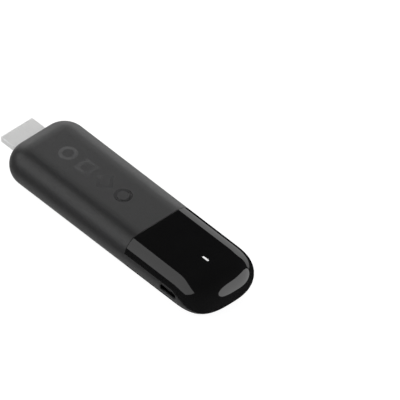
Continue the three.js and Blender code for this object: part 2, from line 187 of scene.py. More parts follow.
def banded_turns(bottom, top):
    """Turns of all the rows, spaced evenly within the rear, the rail and the front."""
    limits = [(-math.pi / 2, bottom, rear_rows), (bottom, top, rail_rows),
              (top, math.pi / 2, front_rows)]
    turns = [np.linspace(start, end, count + 1)[:-1] for start, end, count in limits]
    return np.append(np.concatenate(turns), math.pi / 2)


# Away from the covers the rows spread out evenly towards the plug end.
even_turns = np.linspace(-math.pi / 2, math.pi / 2, rows + 1)
row_turns = np.zeros((stations, rows + 1))
for station in range(stations):
    if station <= tip_end:
        row_turns[station] = banded_turns(*rail_turns(station))
    else:
        x, y = outline[station]
        near_rail = banded_turns(*rail_turns(tip_end if y > 0 else 0))
        blend = smooth((rail_start - x) / (rail_start - corner_radius))
        row_turns[station] = near_rail * (1 - blend) + even_turns * blend


def faces_between(ring, following):
    """Faces that join two closed rings of points."""
    return [[a, b, d, c] for a, b, c, d in zip(
        ring, ring[1:] + ring[:1], following, following[1:] + following[:1])]


class Skin:
    """Outer faces with their points at two depths. solid() closes them as a wall with rounded rims."""

    def __init__(self, depth, soft=0.0):
        self.depth, self.soft = depth, soft
        self.outer, self.inner, self.normals, self.faces, self.known = [], [], [], [], {}

    def add(self, point, inner, normal):
        """A point of the outside with the one under it. Its number is returned."""
        self.outer.append(point)
        self.inner.append(inner)
        self.normals.append(normal)
        return len(self.outer) - 1

    def on_form(self, station, turn, depth=None):
        """A point on the form. A soft skin's normals lean outwards near the flats, from 1 radian up."""
        easing = self.soft * smooth((abs(turn) - 1.0) / (math.pi / 2 - 1.0))
        normal = form_point(station, turn - math.copysign(easing, turn))[1]
        inner = form_point(station, turn, depth or self.depth)[0]
        return self.add(form_point(station, turn)[0], inner, normal)

    def grid_vertex(self, station, row):
        """A point of the grid, made once."""
        key = (station % stations, row)
        if key not in self.known:
            self.known[key] = self.on_form(key[0], row_turns[key])
        return self.known[key]

    def band(self, station_range, row_range, skip=()):
        """The grid's faces in a range of stations and rows."""
        for station in station_range:
            for row in row_range:
                if (station % stations, row) not in skip:
                    self.faces.append([
                        self.grid_vertex(station, row), self.grid_vertex(station + 1, row),
                        self.grid_vertex(station + 1, row + 1), self.grid_vertex(station, row + 1)])

    def boundary_loops(self):
        """The open edges, as closed runs of points."""
        directed = {(a, b) for face in self.faces for a, b in zip(face, face[1:] + face[:1])}
        following = {a: b for a, b in directed if (b, a) not in directed}
        loops = []
        while following:
            start, after = following.popitem()
            loop = [start]
            while after != start:
                loop.append(after)
                after = following.pop(after)
            loops.append(loop)
        return loops

    def solid(self, name, radius, gap, steps=4):
        """The outer faces, the same faces inside, and a rounded rim joining them at each edge."""
        count = len(self.outer)
        points = list(map(np.array, self.outer)) + list(map(np.array, self.inner))
        normals = list(self.normals) + [-np.array(n) for n in self.normals]
        faces = [list(face) for face in self.faces]
        faces += [[v + count for v in reversed(face)] for face in self.faces]
        for loop in self.boundary_loops():
            place = np.array([self.outer[v] for v in loop])
            up = np.array([self.normals[v] for v in loop])
            edge = np.roll(place, -1, axis=0) - place
            edge /= np.linalg.norm(edge, axis=1)[:, None]
            out = np.cross(edge, up)
            out /= np.linalg.norm(out, axis=1)[:, None]
            miter = out + np.roll(out, 1, axis=0)
            away = miter / np.maximum((miter * miter).sum(1), 0.4)[:, None] * 2
            facing = miter / np.linalg.norm(miter, axis=1)[:, None]
            previous = list(loop)
            for v, move in zip(loop, away):
                points[v] = points[v] - (radius + gap) * move
                points[v + count] = points[v + count] - gap * move
            for step in range(1, steps + 1):
                angle = step / steps * math.pi / 2
                current = []
                for i, v in enumerate(loop):
                    shift = away[i] * (-gap - radius * (1 - math.sin(angle)))
                    points.append(place[i] + shift - up[i] * radius * (1 - math.cos(angle)))
                    normals.append(facing[i] * math.sin(angle) + up[i] * math.cos(angle))
                    current.append(len(points) - 1)
                faces += faces_between(current, previous)
                previous = current
            faces += faces_between([v + count for v in loop], previous)
        return make_mesh(name, points, faces, normals)


def make_mesh(name, points, faces, normals=None):
    """A piece from points measured from the plug wall at mid height, put in its place in the frame."""
    placed = np.array(points) + [plug_wall, 0, middle_height]
    mesh = bpy.data.meshes.new(name)
    mesh.from_pydata(placed.tolist(), [], [list(face) for face in faces])
    mesh.update()
    mesh.shade_smooth()
    if normals is not None:
        lengths = np.linalg.norm(np.array(normals), axis=1)[:, None]
        mesh.normals_split_custom_set_from_vertices((np.array(normals) / lengths).tolist())
    piece = bpy.data.objects.new(name, mesh)
    bpy.context.scene.collection.objects.link(piece)
    return piece


def ring_fill(skin, block, hole, shares_and_depths):
    """Faces from a block's edge to a hole's edge. hole lists both ends, as (station, turn) pairs."""
    rings = [block]
    for share, depth in shares_and_depths:
        rings.append([skin.on_form(*(np.array(a) * (1 - share) + np.array(b) * share), depth)
                      for a, b in hole])
    for outer_ring, inner_ring in zip(rings, rings[1:]):
        skin.faces += faces_between(outer_ring, inner_ring)


def block_edge(first, last, low, high):
    """(station, row) round a block of the grid, with the block to the left."""
    bottom = [(s, low) for s in range(first, last)]
    right = [(last, r) for r in range(low, high)]
    top = [(s, high) for s in range(last, first, -1)]
    left = [(first, r) for r in range(high, low, -1)]
    return bottom + right + top + left


def rounded_outline(corners, radius, steps=6):
    """A polygon with rounded corners, as evenly turned points."""
    points = []
    for i, corner in enumerate(corners):
        corner = np.array(corner)
        before = np.array(corners[i - 1]) - corner
        after = np.array(corners[(i + 1) % len(corners)]) - corner
        enter = corner + before / np.linalg.norm(before) * radius
        leave = corner + after / np.linalg.norm(after) * radius
        for t in np.linspace(0, 1, steps + 1):
            points.append(enter * (1 - t) ** 2 + corner * 2 * t * (1 - t) + leave * t ** 2)
    return np.array(points)


def outline_toward(points, centre, direction):
    """Where a ray from the centre leaves a closed outline."""
    ends = np.roll(points, -1, axis=0)
    best = None
    for start, end in zip(points - centre, ends - centre):
        side = end - start
        cross = direction[0] * side[1] - direction[1] * side[0]
        if abs(cross) < 1e-15:
            continue
        reach = (start[0] * side[1] - start[1] * side[0]) / cross
        share = (start[0] * direction[1] - start[1] * direction[0]) / cross
        if reach > 0 and -1e-6 <= share <= 1 + 1e-6:
            best = reach if best is None else max(best, reach)
    return centre + best * np.array(direction)


def hole_in_band(skin, first, last, low, high, points, flat_coordinate, edge_depth):
    """Joins a block of the grid to a hole drawn in (flat_coordinate, z), with a thinner wall there."""
    block = block_edge(first, last, low, high)
    vertices = [skin.grid_vertex(s, r) for s, r in block]
    centre = points.mean(axis=0)
    pairs = []
    for (s, r), v in zip(block, vertices):
        place = skin.outer[v][[flat_coordinate, 2]]
        target = outline_toward(points, centre, place - centre)
        turn = edge_turn(target[1])
        stretch = np.arange(first - 2, last + 3)
        across = np.array([form_point(k, turn)[0][flat_coordinate] for k in stretch])
        order = np.argsort(across)
        station = np.interp(target[0], across[order], stretch[order])
        pairs.append(((s, row_turns[s % stations, r]), (station, turn)))
    # One ring of points stands about halfway in, and the last one on the hole's edge.
    ring_fill(skin, vertices, pairs, [(0.45, skin.depth), (1.0, edge_depth)])


plug_low, plug_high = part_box("hdmi_plug_shell")
plug_room = 0.27 * mm  # round the plug, to which the hole's own seam adds 0.03 mm
plug_upright = 2.12 * mm  # height of the plug's upright sides, above its 45 degree chamfers


def plug_corners(inset):
    """The plug's section in (y, z): wide face to the front, chamfers to the back."""
    top, bottom, half = plug_high.z - middle_height, plug_low.z - middle_height, plug_high.y
    chamfer = top - bottom - plug_upright
    slant = math.tan(math.pi / 8) * inset
    right = [(half - chamfer - slant, bottom + inset), (half - inset, bottom + chamfer + slant),
             (half - inset, top - inset)]
    return right + [(-y, z) for y, z in reversed(right)]


port_low, port_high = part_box("usb_port_shell")
port_centre = np.array([(port_low.x + port_high.x) / 2 - plug_wall,
                        (port_low.z + port_high.z) / 2 - middle_height])
port_half = np.array([3.75, 1.15]) * mm
square_corners = ((-1, -1), (1, -1), (1, 1), (-1, 1))
port_corners = [port_centre + port_half * corner for corner in square_corners]

# Each hole takes the place of a block of the skin's grid: first and last station, low and high row.
end_start = tip_end + side_steps + corner_steps
plug_block = (end_start - 5, end_start + end_steps + 5, 9, 22)
port_block = (17, 29, rail_low + 1, rail_high - 1)


def cells(first, last, low, high):
    """The grid's cells in a block."""
    return {(s, r) for s in range(first, last) for r in range(low, high)}


# The shading of the flats eases into the rounded edge, over a band 2 mm wide.
flat_band = 2 * mm
housing = Skin(wall, soft=math.radians(4.5))
housing.band(range(tip_end, stations), range(rows), skip=cells(*plug_block))
housing.band(range(0, tip_end), range(rail_low, rail_high), skip=cells(*port_block))
for row, side in ((rows, 1), (0, -1)):
    edge = [housing.grid_vertex(s, row) for s in range(tip_end, stations + 1)]
    flat = []
    for s in range(tip_end, stations + 1):
        x, y = outline[s % stations] - outward[s % stations] * (edge_reach + flat_band)
        flat.append(housing.add(np.array([x, y, side * half_height]),
                                np.array([x, y, side * (half_height - wall)]), np.array([0.0, 0.0, side])))
    housing.faces += [[edge[i], edge[i + 1], flat[i + 1], flat[i]][::side] for i in range(len(edge) - 1)]
    housing.faces.append(flat[::side])
plug_hole = rounded_outline(plug_corners(-plug_room), 0.6 * mm)
port_hole = rounded_outline(port_corners, 0.75 * mm)
hole_in_band(housing, *plug_block, plug_hole, 1, 1.0 * mm)
hole_in_band(housing, *port_block, port_hole, 0, 0.45 * mm)
housing_piece = housing.solid("main_housing_shell", rim_radius, seam)


class Finish:
    """A node material. Each finish is built up from a few noises."""

    def __init__(self, name, color, roughness, metallic=0.0, **sockets):
        self.material = bpy.data.materials.new(name)
        self.material.use_nodes = True
        self.nodes = self.material.node_tree.nodes
        self.links = self.material.node_tree.links
        self.shader = self.nodes["Principled BSDF"]
        self.set(self.shader, {
            "Base Color": (*color, 1), "Roughness": roughness, "Metallic": metallic, **sockets})
        self.place = self.nodes.new("ShaderNodeTexCoord").outputs["Object"]

    @staticmethod
    def set(node, values):
        """Plain values for a node's sockets."""
        for socket, value in values.items():
            node.inputs[socket].default_value = value

    def stretched(self, scale):
        """The place on the piece, scaled along each axis."""
        mapping = self.nodes.new("ShaderNodeMapping")
        mapping.inputs["Scale"].default_value = scale
        self.links.new(self.place, mapping.inputs["Vector"])
        return mapping.outputs["Vector"]

    def noise(self, grain, detail=2.0, roughness=0.5, stretch=(1, 1, 1)):
        """Noise with grains of a given size in metres."""
        node = self.nodes.new("ShaderNodeTexNoise")
        self.set(node, {"Scale": 1 / grain, "Detail": detail, "Roughness": roughness})
        self.links.new(self.stretched(stretch), node.inputs["Vector"])
        return node.outputs["Fac"]

    def spread(self, value, low, high, source=(0.3, 0.7)):
        """A value, as a rule a noise, turned into a range from low to high."""
        node = self.nodes.new("ShaderNodeMapRange")
        self.links.new(value, node.inputs["Value"])
        for socket, limit in zip(("From Min", "From Max", "To Min", "To Max"), (*source, low, high)):
            node.inputs[socket].default_value = limit
        return node.outputs["Result"]

    def mix(self, share, first, second):
        """A colour between two, by a share."""
        node = self.nodes.new("ShaderNodeMix")
        node.data_type = "RGBA"
        for socket, value in ((0, share), (6, first), (7, second)):
            if isinstance(value, bpy.types.NodeSocket):
                self.links.new(value, node.inputs[socket])
            else:
                node.inputs[socket].default_value = value if isinstance(value, float) else (*value, 1)
        return node.outputs[2]

    def math(self, operation, *values):
        """One sum on values or numbers."""
        node = self.nodes.new("ShaderNodeMath")
        node.operation = operation
        for socket, value in zip(node.inputs, values):
            if isinstance(value, bpy.types.NodeSocket):
                self.links.new(value, socket)
            else:
                socket.default_value = value
        return node.outputs[0]

    def joined(self, operation, *values):
        """Several values put together by one operation."""
        result = values[0]
        for value in values[1:]:
            result = self.math(operation, result, value)
        return result

    def bump(self, height, distance):
        """A fine relief, a given distance high."""
        node = self.nodes.new("ShaderNodeBump")
        self.set(node, {"Distance": distance, "Strength": 1.0})
        self.links.new(height, node.inputs["Height"])
        self.links.new(node.outputs["Normal"], self.shader.inputs["Normal"])

    def drive(self, socket, value):
        """Sets one of the finish's sockets from a value that varies over the piece."""
        self.links.new(value, self.shader.inputs[socket])

    def drift(self, grain, detail, first, second):
        """A base colour that drifts between two over the piece."""
        self.drive("Base Color", self.mix(self.spread(self.noise(grain, detail), 0.0, 1.0), first, second))

    def axis(self, name):
        """One coordinate of the place on the piece, measured from the plug wall and the middle height."""
        split = self.nodes.new("ShaderNodeSeparateXYZ")
        self.links.new(self.place, split.inputs["Vector"])
        start = {"X": plug_wall, "Y": 0.0, "Z": middle_height}[name]
        return self.math("SUBTRACT", split.outputs[name], start)

    def inside_of(self, value, limit, soft=0.06 * mm):
        """1 where a distance is under a limit, 0 beyond it, with a soft edge."""
        return self.spread(value, 1.0, 0.0, (limit - soft, limit + soft))

    def off(self, name, middle):
        """Distance along one axis from a place."""
        return self.math("ABSOLUTE", self.math("SUBTRACT", self.axis(name), middle))

    def line_shape(self, kind, x, y, size, line):
        """A ring, square or diamond in a thin line, round a place on a flat face. All are in mm."""
        dx, dy = self.off("X", x * mm), self.off("Y", y * mm)
        if kind == "ring":
            squares = self.math("ADD", self.math("MULTIPLY", dx, dx), self.math("MULTIPLY", dy, dy))
            reach = self.math("SQRT", squares)
        else:
            reach = self.math({"square": "MAXIMUM", "diamond": "ADD"}[kind], dx, dy)
        return self.inside_of(self.math("ABSOLUTE", self.math("SUBTRACT", reach, size * mm)), line * mm)


matte_black = Finish("matte_black_abs", (0.03, 0.03, 0.031), 0.45, **{
    "Specular IOR Level": 0.5, "Sheen Weight": 0.32, "Sheen Roughness": 0.35})

# Four line shapes in grey ink stand on the front. Each is its kind, place, size and half line width.
front_shapes = (("ring", 17.5, 0, 2.6, 0.6), ("square", 26.5, 0, 2.4, 0.6),
                ("diamond", 35.5, 0, 3.1, 0.85), ("ring", 44.5, 0, 2.6, 0.6))
front_mark = matte_black.joined("MAXIMUM", *[matte_black.line_shape(*shape) for shape in front_shapes])
height = matte_black.axis("Z")
on_front = matte_black.spread(height, 0.0, 1.0, (half_height - 0.4 * mm, half_height - 0.2 * mm))
on_back = matte_black.spread(height, 1.0, 0.0, (0.2 * mm - half_height, 0.4 * mm - half_height))
front_mark = matte_black.math("MULTIPLY", front_mark, on_front)

# Six small shapes stand on the back, and rows of short dashes stand in for small print.
small_shapes = [matte_black.line_shape(kind, x, y, 1.5, 0.16)
                for x in (14, 20, 26) for y, kind in ((-3.4, "square"), (3.4, "ring"))]
row_place = matte_black.math("DIVIDE", matte_black.axis("Y"), 1.4 * mm)
row_middle = matte_black.math("SUBTRACT", matte_black.math("FRACT", row_place), 0.5)
in_row = matte_black.inside_of(matte_black.math("ABSOLUTE", row_middle), 0.2, 0.05)
dash_place = matte_black.nodes.new("ShaderNodeCombineXYZ")
along_row = matte_black.math("DIVIDE", matte_black.axis("X"), 1.1 * mm)
row_number = matte_black.math("MULTIPLY", matte_black.math("FLOOR", row_place), 7.3)
matte_black.links.new(along_row, dash_place.inputs["X"])
matte_black.links.new(row_number, dash_place.inputs["Y"])
dash_noise = matte_black.nodes.new("ShaderNodeTexNoise")
matte_black.set(dash_noise, {"Scale": 1.0, "Detail": 1.0})
matte_black.links.new(dash_place.outputs["Vector"], dash_noise.inputs["Vector"])
dashes = matte_black.spread(dash_noise.outputs["Fac"], 0.0, 1.0, (0.44, 0.47))
print_long = matte_black.inside_of(matte_black.off("X", 44.5 * mm), 14 * mm)
print_wide = matte_black.inside_of(matte_black.off("Y", 0.0), 5.6 * mm)
dashes = matte_black.joined("MULTIPLY", dashes, in_row, print_long, print_wide)
back_mark = matte_black.math("MULTIPLY", matte_black.joined("MAXIMUM", dashes, *small_shapes), on_back)

# The front's ink is glossier than the skin, and its colour holds a painted reflection.
grain_share = matte_black.spread(matte_black.noise(0.5 * mm, 3), 0.0, 1.0)
grain = matte_black.mix(grain_share, (0.020, 0.020, 0.0205), (0.027, 0.027, 0.0275))
# Painted reflection: the ink runs from light grey at the plug end to nearly black towards the tip.
painted_reflection_share = matte_black.spread(matte_black.axis("X"), 0.0, 1.0, (14 * mm, 48 * mm))
ink_and_painted_reflection = matte_black.mix(painted_reflection_share, (0.100, 0.100, 0.101), (0.004, 0.004, 0.0045))
inked = matte_black.mix(front_mark, grain, ink_and_painted_reflection)
matte_black.drive("Base Color", matte_black.mix(back_mark, inked, (0.010, 0.010, 0.0105)))
skin_roughness = matte_black.spread(matte_black.noise(0.9 * mm, 2), 0.36, 0.45)
ink_change = matte_black.math("MULTIPLY", front_mark, -0.2)
matte_black.drive("Roughness", matte_black.math("ADD", skin_roughness, ink_change))
matte_black.bump(matte_black.noise(0.16 * mm, 3, 0.6), 0.010 * mm)

housing_piece.data.materials.append(matte_black.material)
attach(housing_piece, "root")
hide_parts("main_housing")

# ---- Polished covers -----------------------------------------------------------------------
# Two caps of piano-black PMMA, moulded and left polished, bonded on ledges inside the rail. The
# front one wraps the tip and has a slot for the light; the rear one wraps up to the port's rail.
cover_wall = 1.3 * mm
light_low, light_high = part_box("led_light_pipe")
light_x = (light_low.x + light_high.x) / 2 - plug_wall
light_half = np.array([1.4, 0.31]) * mm
light_gap = 0.03 * mm

front_cover = Skin(cover_wall)
front_cover.band(range(0, tip_end), range(rail_high, rows))
rear_cover = Skin(cover_wall)
rear_cover.band(range(0, tip_end), range(0, rail_low))
rear_cover.faces.append([rear_cover.grid_vertex(s, 0) for s in range(tip_end, -1, -1)])


def flat_front_with_slot(skin):
    """The flat front, as two halves that meet on the centre line at the ends of the light's slot."""
    half = light_half + light_gap
    middle = np.array([light_x, 0])
    slot = rounded_outline([middle + half * corner for corner in square_corners], half[1] * 0.98)
    slot = slot[np.argsort(np.arctan2(slot[:, 1], slot[:, 0] - light_x))]
    slot = slot[np.insert(np.linalg.norm(np.diff(slot, axis=0), axis=1) > 1e-7, 0, True)]

    def flat_vertex(x, y):
        return skin.add(np.array([x, y, half_height]), np.array([x, y, half_height - skin.depth]),
                        np.array([0, 0, 1.0]))

    left, right = flat_vertex(light_x - half[0], 0), flat_vertex(light_x + half[0], 0)
    under = [flat_vertex(x, y) for x, y in slot if y < -1e-6 * mm]
    over = [flat_vertex(x, y) for x, y in slot if y > 1e-6 * mm]
    start = flat_vertex(rail_start, 0)
    tip = tip_end // 2
    rim_low = [skin.grid_vertex(s, rows) for s in range(0, tip + 1)]
    rim_high = [skin.grid_vertex(s, rows) for s in range(tip, tip_end + 1)]
    skin.faces.append([start] + rim_low + [right] + under[::-1] + [left])
    skin.faces.append([start, left] + over[::-1] + [right] + rim_high)


flat_front_with_slot(front_cover)
front_piece = front_cover.solid("front_cover_shell", rim_radius, seam)
rear_piece = rear_cover.solid("rear_cover_shell", rim_radius, seam)

piano_black = Finish("piano_black_pmma", (0.008, 0.008, 0.008), 0.03, IOR=1.5)
piano_black.drive("Roughness", piano_black.spread(piano_black.noise(6 * mm, 3), 0.02, 0.05))
piano_black.drift(9 * mm, 2, (0.0078, 0.0078, 0.0080), (0.0088, 0.0088, 0.0090))
piano_black.bump(piano_black.noise(11 * mm, 1), 0.003 * mm)
for piece, node in ((front_piece, "front_gloss_cover"), (rear_piece, "rear_gloss_cover")):
    piece.data.materials.append(piano_black.material)
    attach(piece, "root")
    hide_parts(node)

# ---- Status light --------------------------------------------------------------------------
# A bar of milky polycarbonate, flush with the cover, carries the light of a chip on the board.
# It has a flange under the cover, which stops it coming out, and a stem down to the chip.


class Parts:
    """Closed shapes gathered into one mesh."""

    def __init__(self):
        self.points, self.faces = [], []

    def loft(self, rings):
        """A closed shape through rings of points, with flat ends."""
        starts = range(len(self.points), len(self.points) + len(rings) * len(rings[0]), len(rings[0]))
        numbers = [list(range(start, start + len(rings[0]))) for start in starts]
        self.points += [list(point) for ring in rings for point in ring]
        self.faces.append(numbers[0][::-1])
        for here, there in zip(numbers, numbers[1:]):
            self.faces += faces_between(here, there)
        self.faces.append(numbers[-1])

    def mesh(self, name, crease=35):
        """The finished mesh, with edges sharper than the crease left sharp."""
        piece = make_mesh(name, self.points, self.faces)
        piece.data.set_sharp_from_angle(angle=math.radians(crease))
        return piece


def stadium(half_long, half_thick, z, steps=10):
    """A level ring round the bar: two half circles and the straights between them."""
    turns = np.radians(np.concatenate([np.linspace(-90, 90, steps), np.linspace(90, 270, steps)]))
    shift = np.repeat([1, -1], steps) * (half_long - half_thick)
    return np.c_[light_x + shift + half_thick * np.cos(turns), half_thick * np.sin(turns),
                 np.full(2 * steps, z)]


light_foot, light_top = light_low.z - middle_height, light_high.z - middle_height
flange_top = light_high.z - middle_height - cover_wall - 0.1 * mm
flange_foot = flange_top - 0.8 * mm
stem, flange, flange_chamfer = (1.1 * mm, 0.6 * mm), (2.5 * mm, 1.3 * mm), 0.1 * mm
light_rings = [
    stadium(*stem, light_foot),
    stadium(*stem, flange_foot),
    stadium(2.45 * mm, 1.25 * mm, flange_foot),
    stadium(*flange, flange_top - 0.7 * mm),
    stadium(*flange, flange_top - flange_chamfer),
    stadium(flange[0] - flange_chamfer, flange[1] - flange_chamfer, flange_top),
    stadium(*light_half, flange_top),
]
light_edge = 0.07 * mm  # radius of the bar's upper edge
for turn in np.linspace(0, math.pi / 2, 6):
    inset = light_edge * (1 - math.cos(turn))
    light_rings.append(stadium(
        light_half[0] - inset, light_half[1] - inset, light_top - light_edge * (1 - math.sin(turn))))
light_bar = Parts()
light_bar.loft(light_rings)
light_piece = light_bar.mesh("light_bar")
milky = Finish("milky_polycarbonate", (0.9, 0.9, 0.88), 0.35, **{
    "Subsurface Weight": 0.2, "Subsurface Radius": (0.001, 0.001, 0.001)})
milky.drift(0.7 * mm, 2, (0.86, 0.86, 0.85), (0.93, 0.93, 0.92))
milky.drive("Roughness", milky.spread(milky.noise(0.3 * mm), 0.3, 0.45))
milky.bump(milky.noise(0.2 * mm), 0.004 * mm)
milky.set(milky.shader, {"Emission Color": (1, 1, 1, 1), "Emission Strength": 0.35})
light_piece.data.materials.append(milky.material)
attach(light_piece, "root")
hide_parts("led_light_pipe")

# ---- Television plug's shell -----------------------------------------------------------------
# A tube folded from 0.35 mm steel strip, nickel plated. Its lower corners are cut at 45 degrees so
# it goes in one way up. Two windows in the narrow face keep sprung tongues for the socket's latch.
sheet = 0.35 * mm
plug_radius = 0.4 * mm
plug_mouth = plug_low.x - plug_wall
plug_tail = plug_high.x - plug_wall
tail_step = 0.1 * mm  # how much smaller the tail is all round, inside the housing


def plug_section(inset, cuts=(), steps=5):
    """Points and normals clockwise round the plug, from its upper left corner. Cuts are extra points."""
    corners = np.roll(plug_corners(inset)[::-1], -2, axis=0)
    points, normals = [], []
    for i, corner in enumerate(corners):
        before = corner - corners[i - 1]
        after = corners[(i + 1) % 6] - corner
        first, last = (math.atan2(run[0], -run[1]) for run in (before, after))
        if last > first:
            last -= 2 * math.pi
        radius = plug_radius - inset
        facing = np.array([[math.cos(t), math.sin(t)] for t in (first, last)])
        centre = corner - radius * facing.sum(axis=0) / (1 + facing[0] @ facing[1])
        for t in np.linspace(first, last, steps + 1):
            points.append(centre + radius * np.array([math.cos(t), math.sin(t)]))
            normals.append([math.cos(t), math.sin(t)])
        if i == 3:  # along the narrow face
            for y in cuts:
                points.append([y, corner[1]])
                normals.append([0, -1])
    return np.array(points), np.array(normals)


# The windows are left out of a column of faces between two cuts each.
window_half, window_centre = 0.725 * mm, 2.5 * mm
window_start = plug_mouth + 3.5 * mm
window_cuts = [window_centre + window_half, window_centre - window_half,
               -window_centre + window_half, -window_centre - window_half]
section, section_out = plug_section(0, window_cuts)
section_in = plug_section(sheet, window_cuts)[0]
narrow_face = plug_low.z - middle_height
cut_points = [int(np.argmin(np.linalg.norm(section - [y, narrow_face], axis=1))) for y in window_cuts]
window_columns = {cut_points[0], cut_points[2]}
shell = Skin(sheet)
window_end = window_start + 2 * window_half
plug_steps = [plug_mouth, plug_mouth + 0.4 * mm, window_start, window_end, -0.3 * mm,
              0.05 * mm, 0.2 * mm, plug_tail]
window_step = plug_steps.index(window_start)
rings = []
for x in plug_steps:
    step_in = tail_step if x > 0.1 * mm else 0.0
    rings.append([
        shell.add(np.array([x, *(outer - normal * step_in)]), np.array([x, *inner]), np.array([0, *normal]))
        for outer, normal, inner in zip(section, section_out, section_in)])
for step, (here, there) in enumerate(zip(rings, rings[1:])):
    for column, face in enumerate(faces_between(there, here)):
        if step != window_step or column not in window_columns:
            shell.faces.append(face)
shell_piece = shell.solid("plug_shell", 0.1 * mm, 0.0)


def bevelled(half_wide, half_thick, bevel):
    """A flat bar's section with bevelled corners, anticlockwise from its lower left."""
    lower = [(-half_wide, bevel - half_thick), (bevel - half_wide, -half_thick),
             (half_wide - bevel, -half_thick), (half_wide, bevel - half_thick)]
    return lower + [(-u, -v) for u, v in lower]


def add_strip(parts, path, y, width, thickness, bevel):
    """A bent strip, with its path as (x, z) along its middle."""
    path = np.array(path)
    run = np.gradient(path, axis=0)
    run /= np.linalg.norm(run, axis=1)[:, None]
    section = bevelled(width / 2, thickness / 2, bevel)
    rings = [[(p[0] - r[1] * v, y + u, p[1] + r[0] * v) for u, v in section] for p, r in zip(path, run)]
    parts.loft([ring[::-1] for ring in rings])


# Each window's tongue is bent inwards from the edge nearer the housing: (back from it, up) in mm.
bends = [(-0.35, 0.47), (-0.02, 0.45), (0.25, 0.39), (0.75, 0.1925), (1.1, 0.2625), (1.28, 0.45)]
tongues = Parts()
for side in (-1, 1):
    path = [(window_end - back * mm, narrow_face + up * mm) for back, up in bends]
    add_strip(tongues, path, side * window_centre, 1.15 * mm, 0.2 * mm, 0.04 * mm)
tongue_piece = tongues.mesh("plug_latch_tongues")

plated_steel = Finish("nickel_plated_steel", (0.8, 0.8, 0.79), 0.4, 0.4)
brushed = plated_steel.noise(0.12 * mm, 4, 0.6, stretch=(0.04, 1, 1))
plated_steel.drive("Base Color", plated_steel.mix(
    plated_steel.spread(brushed, 0.0, 1.0), (0.88, 0.88, 0.875), (0.96, 0.96, 0.95)))
steel_patches = plated_steel.noise(0.8 * mm, 4, stretch=(0.2, 1, 1))
plated_steel.drive("Roughness", plated_steel.spread(steel_patches, 0.38, 0.50))
plated_steel.bump(brushed, 0.003 * mm)
for piece in (shell_piece, tongue_piece):
    piece.data.materials.append(plated_steel.material)
    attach(piece, "root")
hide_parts("hdmi_plug_shell")

# ---- Plug's insulator --------------------------------------------------------------------------
# A block of black glass-filled nylon, moulded to fill the shell, with one slot for the contacts.
# The slot is flared at the front, so that the socket's tongue finds its way in.
insulator_low, insulator_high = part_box("hdmi_insulator")
plug_axis = -1.2 * mm
slot_half = np.array([5.4, 0.675]) * mm
insulator_middle = np.array([0, plug_axis])


def slot_outline(growth):
    """The contacts' slot in (y, z), grown all round."""
    corners = [insulator_middle + (slot_half + growth) * corner for corner in square_corners]
    return rounded_outline(corners, 0.15 * mm, 3)


slot, slot_flare = slot_outline(0), slot_outline(0.2 * mm)
body = plug_section(sheet + 0.03 * mm)[0][::-1]
body_nose = plug_section(sheet + 0.15 * mm)[0][::-1]
turns = np.sort(np.concatenate([np.arctan2(*(shape - insulator_middle).T[::-1]) for shape in (body, slot)]))
turns = turns[np.insert(np.diff(turns) > 1e-4, 0, True)]
insulator_front, insulator_back = insulator_low.x - plug_wall, insulator_high.x - plug_wall
levels = [(slot, insulator_back), (slot, insulator_front + 0.25 * mm), (slot_flare, insulator_front),
          (body_nose, insulator_front), (body, insulator_front + 0.12 * mm), (body, insulator_back)]
insulator_points, insulator_faces = [], []
for shape, x in levels:
    for turn in turns:
        toward = np.array([math.cos(turn), math.sin(turn)])
        insulator_points.append([x, *outline_toward(shape, insulator_middle, toward)])
for level in range(len(levels)):
    here, there = level * len(turns), (level + 1) % len(levels) * len(turns)
    insulator_faces += faces_between(
        list(range(there, there + len(turns))), list(range(here, here + len(turns))))
insulator_piece = make_mesh("plug_insulator", insulator_points, insulator_faces)
insulator_piece.data.set_sharp_from_angle(angle=math.radians(30))
black_nylon = Finish("black_glass_filled_nylon", (0.012, 0.012, 0.013), 0.5)
black_nylon.drift(0.4 * mm, 4, (0.010, 0.010, 0.011), (0.018, 0.018, 0.019))
black_nylon.drive("Roughness", black_nylon.spread(black_nylon.noise(0.25 * mm, 3), 0.42, 0.6))
black_nylon.bump(black_nylon.noise(0.12 * mm, 3), 0.01 * mm)
insulator_piece.data.materials.append(black_nylon.material)
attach(insulator_piece, "root")
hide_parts("hdmi_insulator")

# ---- Plug's contacts ---------------------------------------------------------------------------
# Nineteen strips of gold-plated phosphor bronze in two staggered rows, stamped and pressed into the
# insulator from behind. The front of each is bowed into the slot; the tails clasp the board.
gold_plate = Finish("gold_plate", (0.80, 0.60, 0.28), 0.28, 1.0)
gold_plate.drift(0.5 * mm, 3, (0.78, 0.57, 0.26), (0.88, 0.70, 0.38))
gold_streaks = gold_plate.noise(0.2 * mm, 3, stretch=(0.2, 1, 1))
gold_plate.drive("Roughness", gold_plate.spread(gold_streaks, 0.22, 0.36))
gold_plate.bump(gold_plate.noise(0.1 * mm, 2, stretch=(0.1, 1, 1)), 0.002 * mm)
spring_length = 2.3 * mm  # the bowed part of each contact
for number in range(1, 20):
    name = f"hdmi_contact_{number:02d}"
    low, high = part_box(name)
    start, end = low.x - plug_wall, high.x - plug_wall
    height = (low.z + high.z) / 2 - middle_height
    bow = math.copysign(0.17 * mm, plug_axis - height)
    path = [(start, height), (start + 0.12 * mm, height + 0.25 * bow)]
    for t in np.linspace(0.1, 1, 8):
        path.append((start + 0.15 * mm + spring_length * t, height + bow * math.sin(math.pi * t) ** 1.5))
    path += [(start + 4 * mm, height), (end - 1.6 * mm, height), (end - 0.9 * mm, height), (end, height)]
    contact = Parts()
    add_strip(contact, path, (low.y + high.y) / 2, 0.42 * mm, 0.13 * mm, 0.03 * mm)
    contact_piece = contact.mesh(f"plug_contact_{number:02d}")
    contact_piece.data.materials.append(gold_plate.material)
    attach(contact_piece, "root")
    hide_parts(name)

